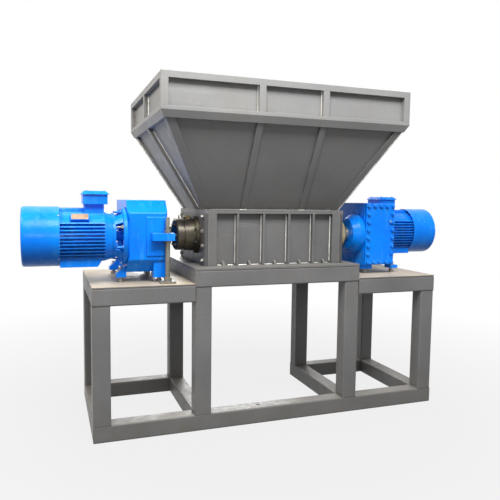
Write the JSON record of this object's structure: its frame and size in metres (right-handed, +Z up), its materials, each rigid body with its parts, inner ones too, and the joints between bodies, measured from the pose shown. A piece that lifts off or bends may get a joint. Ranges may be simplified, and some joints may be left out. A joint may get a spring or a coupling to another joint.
{
  "type": "twin-shaft shredder for plastic bags",
  "caption": "Twin-shaft shredder on a square-tube frame, with a tapered hopper, a toothed-rotor chamber and a geared motor at each end.",
  "frame": {"origin": "on the floor under the middle of the frame", "axes": "+X to the right-hand motor, +Y to the back, +Z up"},
  "size_m": [2.98, 1.154, 2.058],
  "materials": {
    "frame_paint": "satin grey paint",
    "deck_paint": "grey paint, dusty and scuffed",
    "chamber_paint": "grey paint on heavy plate",
    "hopper_paint": "satin grey paint on sheet",
    "trim_paint": "grey paint on flat bar",
    "cutter_steel": "ground tool steel",
    "shaft_steel": "turned steel",
    "bearing_iron": "oily dark casting",
    "drive_paint": "gloss blue enamel"
  },
  "bodies": {
    "root": {"bottom_cross_rails": "frame_paint", "bottom_long_rails": "frame_paint", "centre_deck_long_rails": "frame_paint", "deck_cross_rails": "frame_paint", "side_deck_long_rails": "frame_paint", "inner_legs": "frame_paint", "outer_legs": "frame_paint", "centre_deck_plate": "deck_paint", "side_deck_plates": "deck_paint", "chamber_back_wall": "chamber_paint", "chamber_front_wall": "chamber_paint", "chamber_left_end": "chamber_paint", "chamber_right_end": "chamber_paint", "chamber_flange": "chamber_paint", "hopper_flange": "chamber_paint", "hopper_front_panel": "hopper_paint", "hopper_back_panel": "hopper_paint", "hopper_left_panel": "hopper_paint", "hopper_right_panel": "hopper_paint", "rim_long_panels": "hopper_paint", "rim_short_panels": "hopper_paint", "hopper_corner_angles": "trim_paint", "hopper_ribs": "trim_paint", "rim_long_rails": "trim_paint", "rim_short_rails": "trim_paint", "rim_posts": "trim_paint", "front_cutters": "cutter_steel", "rear_cutters": "cutter_steel", "scrapers": "cutter_steel", "front_rotor_shaft": "shaft_steel", "rear_rotor_shaft": "shaft_steel", "tie_rods": "shaft_steel", "idle_bearings": "bearing_iron", "drive_bearings": "bearing_iron", "left_gear_housing": "drive_paint", "right_gear_housing": "drive_paint", "left_gear_cover": "drive_paint", "right_gear_cover": "drive_paint", "torque_lugs": "drive_paint", "gear_feet": "drive_paint", "left_motor_flange": "drive_paint", "right_motor_flange": "drive_paint", "left_motor_body": "drive_paint", "right_motor_body": "drive_paint", "left_terminal_box": "drive_paint", "right_terminal_box": "drive_paint", "left_fan_cowl": "drive_paint", "right_fan_cowl": "drive_paint"}
  },
  "joints": []
}
